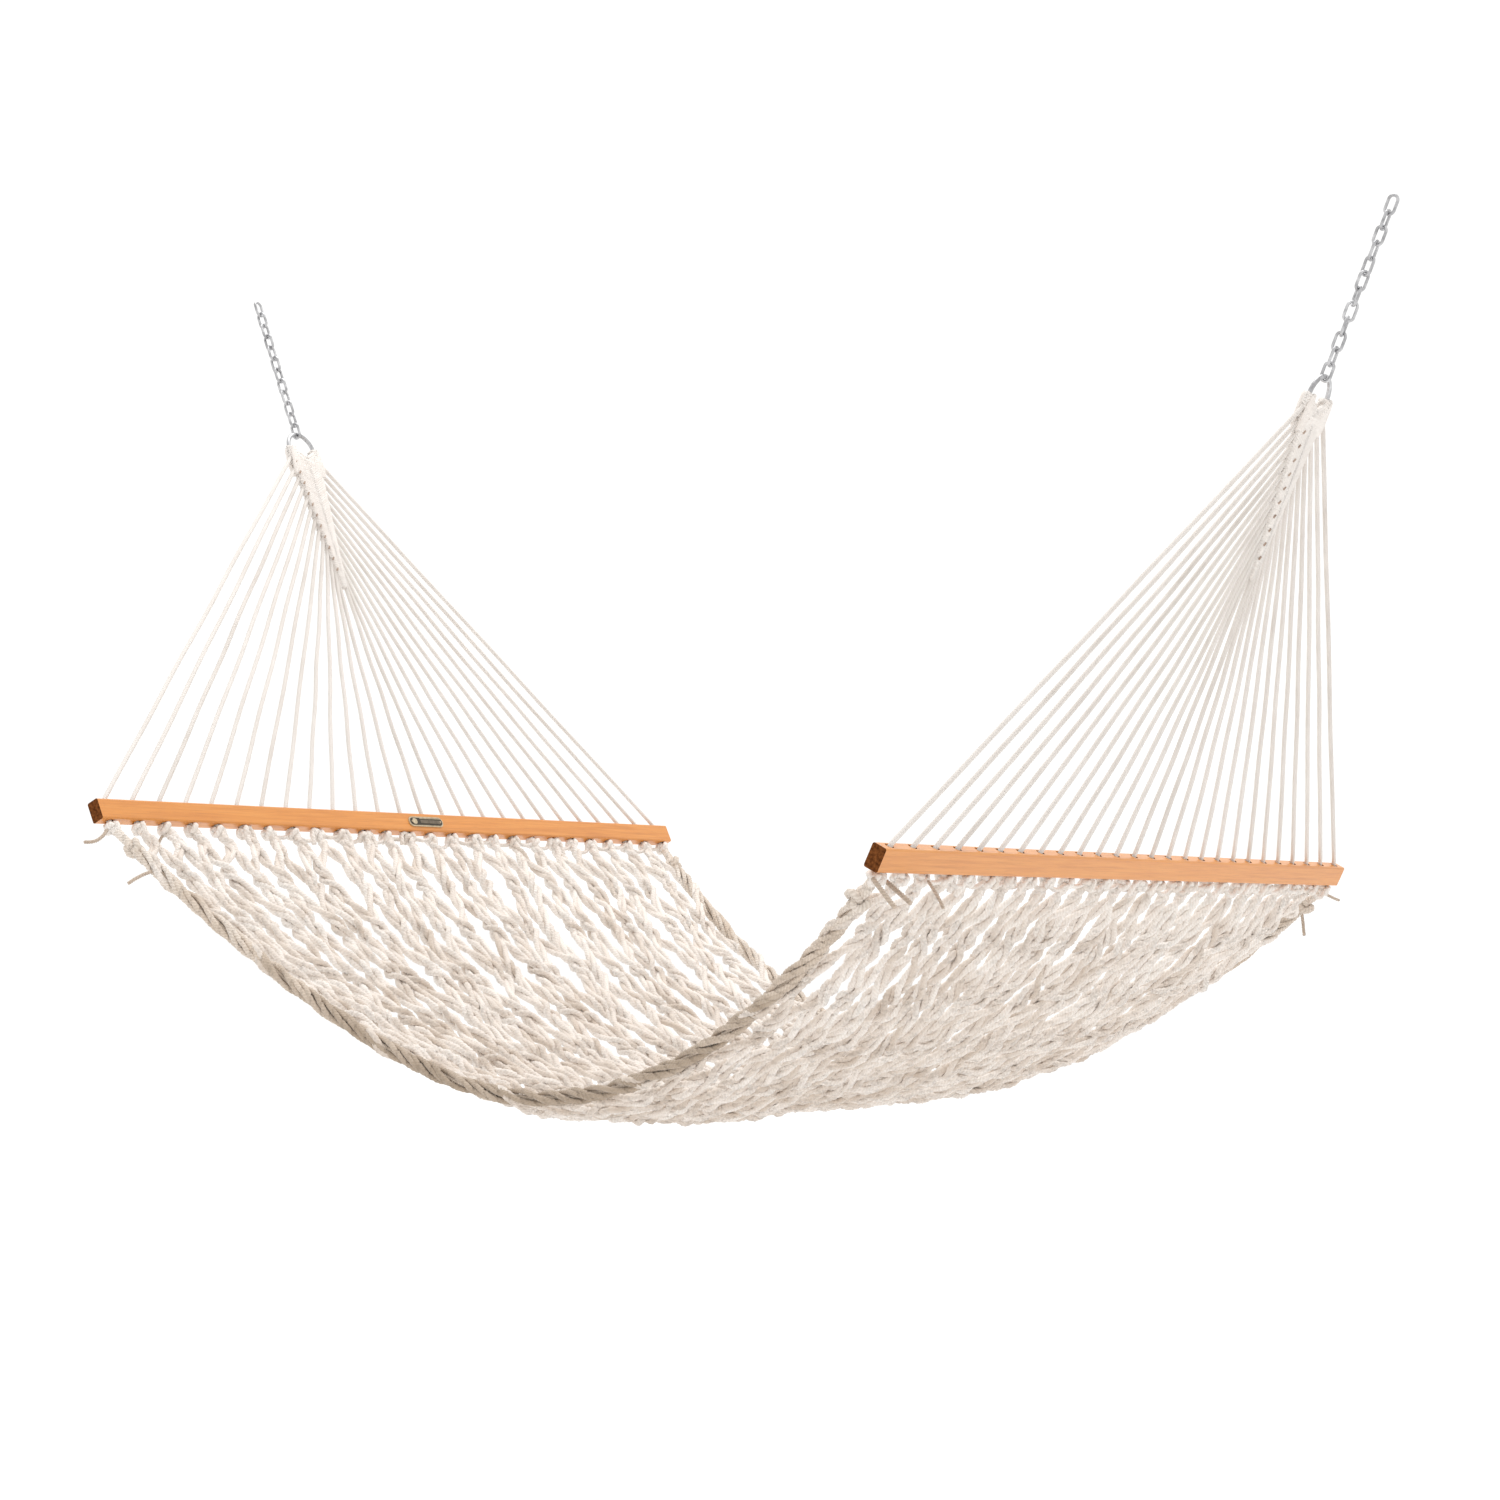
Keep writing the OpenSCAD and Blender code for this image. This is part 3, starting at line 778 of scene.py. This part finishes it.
def make_bar_knots(side):
    """The knots under a bar's holes, and the short rope that goes up into each hole."""
    ropes = Ropes()
    up = up_at(side, CLEW_ANGLE[side] - BAR_LEAN)
    for i in range(hole_count):
        corner = i in (0, hole_count - 1)
        middle = knot_middle(side, i) - up * (0.004 if corner else 0.003)
        tilt = up + dice.uniform(-0.35, 0.35, 3)
        size = corner_knot_size if corner else dice.uniform(*knot_size_range)
        thick = corner_knot_rope_radius if corner else knot_rope_radius
        ropes.add(
            knot_line(middle, tilt, size, knot_height, dice.uniform(0, 6)), thick, spacing=knot_spacing,
            shade=dice.uniform(0.2, 1))
        ropes.add([middle - up * 0.008, middle + up * 0.024], hole_rope_radius, shade=0.3)
    node = "bar_knots_" + SIDE_NAME[side]
    ropes.make("knots_" + SIDE_NAME[side], BED_ROPE, BAR_BODY[side], "bed_rope", node)


def make_second_knots():
    """A second, bigger knot near each end of both side ropes."""
    ropes = Ropes()
    for v in (-1.0, 1.0):
        for side, share in ((LEFT, second_knot_share), (RIGHT, 1 - second_knot_share)):
            s = float(station(share))
            middle = bed_point(s, v)
            ahead = bed_point(s + 0.01, v) - bed_point(s - 0.01, v)
            line = knot_line(middle, ahead, second_knot_size[side], second_knot_height, dice.uniform(0, 6))
            ropes.add(line, second_knot_rope_radius, spacing=knot_spacing, shade=dice.uniform(0.5, 1))
    ropes.make("second_knots", SIDE_ROPE, "bed", "bed_rope")


def make_hem(side, first, last):
    """Thin ropes looped from knot to knot under the bar."""
    ropes = Ropes()
    up = up_at(side, CLEW_ANGLE[side] - BAR_LEAN)
    out = across_at(side, CLEW_ANGLE[side] - BAR_LEAN)
    for i in range(first, last):
        a = knot_middle(side, i)
        b = knot_middle(side, i + 1)
        drop = dice.uniform(0.004, 0.018)
        lean = dice.uniform(-0.006, 0.009)
        middle = (a + b) / 2 - up * drop + out * lean
        quarter = (a * 0.75 + b * 0.25) - up * drop * 0.8 + out * lean
        last_quarter = (a * 0.25 + b * 0.75) - up * drop * 0.8 + out * lean
        ropes.add(
            smooth_line([a, quarter, middle, last_quarter, b], 8), hem_rope_radius, lay=small_rope_lay,
            spacing=0.003, shade=dice.uniform(0, 1))
    ropes.make("hem_" + SIDE_NAME[side], BED_ROPE, BAR_BODY[side], "bed_rope")


def make_snarls(side, holes):
    """Rope left over at the knots: it arches out of a knot and hangs a little way down."""
    ropes = Ropes()
    up = up_at(side, CLEW_ANGLE[side] - BAR_LEAN)
    out = across_at(side, CLEW_ANGLE[side] - BAR_LEAN)
    for i in holes:
        start = knot_middle(side, i)
        along = np.array([0, dice.choice((-1.0, 1.0)), 0])
        width = dice.uniform(0.014, 0.022)
        drop = dice.uniform(0.012, 0.026)
        lean = out * dice.uniform(0.002, 0.009)
        rising = start + up * 0.005 + along * width * 0.4 + lean
        turning = start + up * 0.003 + along * width * 0.8 + lean
        falling = start - up * 0.006 + along * width + lean
        end = start - up * drop + along * width * 1.05 + lean * 0.5
        route = [start, rising, turning, falling, end]
        ropes.add(
            smooth_line(route, 8), snarl_radius, lay=small_rope_lay, spacing=0.003,
            shade=dice.uniform(0, 1))
    ropes.make("snarls_" + SIDE_NAME[side], BED_ROPE, BAR_BODY[side], "bed_rope")


# ---------------------------------------------------------------- clews
def head_half(up):
    share = (up - head_tip) / (head_shoulder - head_tip)
    return head_tip_half_width + (head_half_width - head_tip_half_width) * share


def make_strings(side):
    """The cords of a clew, each from the woven head's edge to its own hole and down to its knot."""
    ropes = Ropes()
    per_side = hole_count // 2
    for i in range(hole_count):
        outward = -1 if i < per_side else 1
        k = i if i < per_side else hole_count - 1 - i
        leave_up = first_leave - k * (first_leave - last_leave) / (per_side - 1)
        leave = clew_point(side, 0, outward * head_half(leave_up), leave_up)
        mouth = bar_point(side, 0, hole_along(i), bar_height / 2)
        heading = (leave - mouth) / np.linalg.norm(leave - mouth)
        foot = bar_point(side, 0, hole_along(i), -bar_height / 2 - knot_drop)
        bend = bar_point(side, 0, hole_along(i), bar_height / 2 - 0.004)
        line = np.vstack([
            np.linspace(leave + heading * string_lead_in, mouth + heading * 0.006, 40),
            np.linspace(bend, foot, 6)])
        line = eased(even_line(line, 0.003)[0], 5)
        run = np.linspace(0, 1, len(line))
        waves = dice.uniform(2, 4) * run + dice.uniform(0, 1)
        line[:, 1] += string_sway * np.sin(2 * math.pi * waves) * np.sin(math.pi * run)
        ropes.add(
            line, string_radius, lay=string_lay, groove=string_groove, spacing=0.004,
            shade=dice.uniform(0.3, 1))
    node = "clew_strings_" + SIDE_NAME[side]
    ropes.make("strings_" + SIDE_NAME[side], STRING_CORD, CLEW_BODY[side], "clew_cord", node)


def woven_row(side, up, half, drop, thick):
    """One closed turn of cord round the flat head, lowest at its middle line."""
    u = np.linspace(0, 2 * math.pi, 60)
    along = half * np.cos(u)
    out = thick * np.sign(np.sin(u)) * np.abs(np.sin(u)) ** 0.55
    level = up - drop * (1 - np.abs(np.cos(u)))
    return np.array([clew_point(side, o, a, l) for o, a, l in zip(out, along, level)])


def ring_loop(side, angle, foot_along, foot_up):
    """A cord that comes up the front, goes through the ring over its wire and comes down the back."""
    outward = np.array([math.sin(angle), -math.cos(angle)])
    wire = outward * ring_line
    wrap = ring_wire / 2 + string_radius + 0.0004
    neck_up = foot_up + ring_loop_neck
    flat = [(foot_along, foot_up, ring_loop_buried), (foot_along, neck_up, wrap * 0.75)]
    for turn in np.linspace(0, math.pi, 9):
        inward = -outward * wrap * math.sin(turn)
        flat.append((wire[0] + inward[0], ring_middle + wire[1] + inward[1], wrap * math.cos(turn)))
    flat.append((foot_along, neck_up, -wrap * 0.75))
    flat.append((foot_along, foot_up, -ring_loop_buried))
    return smooth_line([clew_point(side, out, along, up) for along, up, out in flat], 5)


def make_head(side):
    """The woven head: rows of cord wrapped round it, a core down its middle, and loops on the ring."""
    ropes = Ropes()
    thick = head_thickness / 2 - head_row_inset
    up = head_tip + 0.004
    while up < head_shoulder + head_rise_past_shoulder:
        half = min(head_half(up), head_half_width) - string_radius
        half = max(half, 0.005)
        ropes.add(
            woven_row(side, up + 0.30 * half, half, 0.62 * half, thick * min(1, 0.55 + half / 0.02)),
            string_radius, lay=string_lay, groove=string_groove, spacing=0.0040, shade=dice.uniform(0.3, 1))
        up += head_row_pitch
    for q in range(ring_loops):
        share = -1 + 2 * q / (ring_loops - 1)
        line = ring_loop(side, ring_loop_spread * share, ring_loop_foot_reach * share, ring_loop_foot_up)
        ropes.add(
            line, string_radius, lay=string_lay, groove=string_groove, spacing=0.0032,
            shade=dice.uniform(0.3, 1))
    core = np.array([clew_point(side, 0, 0, level) for level in (head_tip, head_shoulder)])
    ropes.add(core, 0.0045, shade=0.5)
    node = "clew_head_" + SIDE_NAME[side]
    ropes.make("head_" + SIDE_NAME[side], CLEW_CORD, CLEW_BODY[side], "clew_cord", node)


def make_lacing(side):
    """Small dark stitches down the head, between its near edge and its middle line."""
    ropes = Ropes()
    inset = 0.12 if side == LEFT else 0.50
    up = head_shoulder - 0.012
    while up > head_tip + 0.02:
        along = -(head_half(up) * (1 - inset))
        middle = clew_point(side, head_thickness / 2 + 0.0002, along, up)
        tilt = up_at(side, CLEW_ANGLE[side]) + np.array([0, 0.8, 0])
        ropes.add(
            [middle - tilt * stitch_half_length, middle + tilt * stitch_half_length], lacing_radius,
            lay=0.008, sides=8, spacing=0.0008, shade=dice.uniform(0, 1))
        up -= lacing_pitch
    ropes.make("lacing_" + SIDE_NAME[side], LACING, CLEW_BODY[side], "clew_cord")


make_net()
# The near side rope gets deeper painted shade than the far one.
make_side_rope(-1.0, "side_rope_near", "bed_edge_near", 1.5)
make_side_rope(1.0, "side_rope_far", "bed_edge_far", 0.5)
make_second_knots()
for side in (LEFT, RIGHT):
    make_bar_knots(side)
    make_strings(side)
    make_head(side)
    make_lacing(side)
make_hem(LEFT, 6, hole_count - 1)
make_hem(RIGHT, 2, hole_count - 1)
make_snarls(LEFT, (5, 8, 9, 10, 12, 15, 19))
make_snarls(RIGHT, (3, 4, 5, 7, 8, 10, 11, 13, 14, 16, 18, 20, 21, 23))


# ---------------------------------------------------------------- carried-over CAD parts
def paint(node, material):
    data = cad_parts[node].data
    data.materials.clear()
    data.materials.append(material)


def raised_plate(name, material, along, up, width, height, corner, thick):
    """A thin rounded plate on the badge's face, placed from the face's middle."""
    angle = CLEW_ANGLE[LEFT] - BAR_LEAN
    out_way = across_at(LEFT, angle)
    up_way = up_at(LEFT, angle)
    middle = middle_of("badge_face") + out_way * badge_stand_out + up_way * up + np.array([0, along, 0])
    turns = np.linspace(0, 2 * math.pi, 48, endpoint=False)
    y = np.sign(np.cos(turns)) * (width / 2 - corner) + corner * np.cos(turns)
    z = np.sign(np.sin(turns)) * (height / 2 - corner) + corner * np.sin(turns)
    rim = [middle + np.array([0, a, 0]) + up_way * b for a, b in zip(y, z)]
    rise = [point + out_way * thick for point in rim]
    count = len(rim)
    walls = [(i, (i + 1) % count, count + (i + 1) % count, count + i) for i in range(count)]
    front = tuple(range(count, 2 * count))
    back = tuple(range(count))[::-1]
    mesh = bpy.data.meshes.new(name)
    mesh.from_pydata([tuple(point) for point in rim + rise], [], walls + [front, back])
    mesh.materials.append(material)
    piece = bpy.data.objects.new(name, mesh)
    scene.collection.objects.link(piece)
    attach(piece, "left_bar")


def make_badge_relief():
    raised_plate(
        "badge_disc", BADGE_RIM, along=-0.029, up=0, width=0.0115, height=0.0105, corner=0.0052,
        thick=0.0006)
    raised_plate(
        "badge_band", BADGE_BAND, along=0.010, up=-0.0005, width=0.050, height=0.0062, corner=0.0012,
        thick=0.0005)
    raised_plate(
        "badge_rule", BADGE_RIM, along=0.010, up=0.0052, width=0.052, height=0.0009, corner=0.0004,
        thick=0.0005)


make_badge_relief()
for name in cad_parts:
    if name.startswith(("link_", "ring_")):
        paint(name, ZINC)
    if name.startswith("spreader_bar"):
        paint(name, WOOD)
paint("badge_plate", BADGE_RIM)
paint("badge_pins", BADGE_RIM)
paint("badge_face", BADGE_FIELD)


# ---------------------------------------------------------------- light and floor
def soft_light(name, place, aim, size, watts):
    data = bpy.data.lights.new(name, "AREA")
    data.shape = "SQUARE"
    data.size = size
    data.energy = watts
    light = bpy.data.objects.new(name, data)
    heading = Vector(aim) - Vector(place)
    light.matrix_world = Matrix.Translation(place) @ heading.to_track_quat("-Z", "Y").to_matrix().to_4x4()
    scene.collection.objects.link(light)


def light_stage():
    world = bpy.data.worlds.new("studio")
    world.use_nodes = True
    background = world.node_tree.nodes["Background"]
    background.inputs["Color"].default_value = (1.0, 0.995, 0.985, 1)
    background.inputs["Strength"].default_value = 1.10
    scene.world = world
    low, high = cad_box
    middle = [(low[i] + high[i]) / 2 for i in range(3)]
    soft_light("key", (middle[0] - 0.8, middle[1] + 1.2, middle[2] + 5.2), middle, 4.0, 170)
    mesh = bpy.data.meshes.new("floor")
    reach = 15
    floor_drop = 0.55
    level = low[2] - floor_drop
    square = ((-1, -1), (1, -1), (1, 1), (-1, 1))
    corners = [(middle[0] + x * reach, middle[1] + y * reach, level) for x, y in square]
    mesh.from_pydata(corners, [], [(0, 1, 2, 3)])
    floor = bpy.data.objects.new("floor", mesh)
    shader = Shader("pale_floor")
    shader.set(Base_Color=(0.93, 0.93, 0.93), Roughness=0.9)
    mesh.materials.append(shader.material)
    scene.collection.objects.link(floor)


light_stage()
scene.view_settings.view_transform = "Standard"
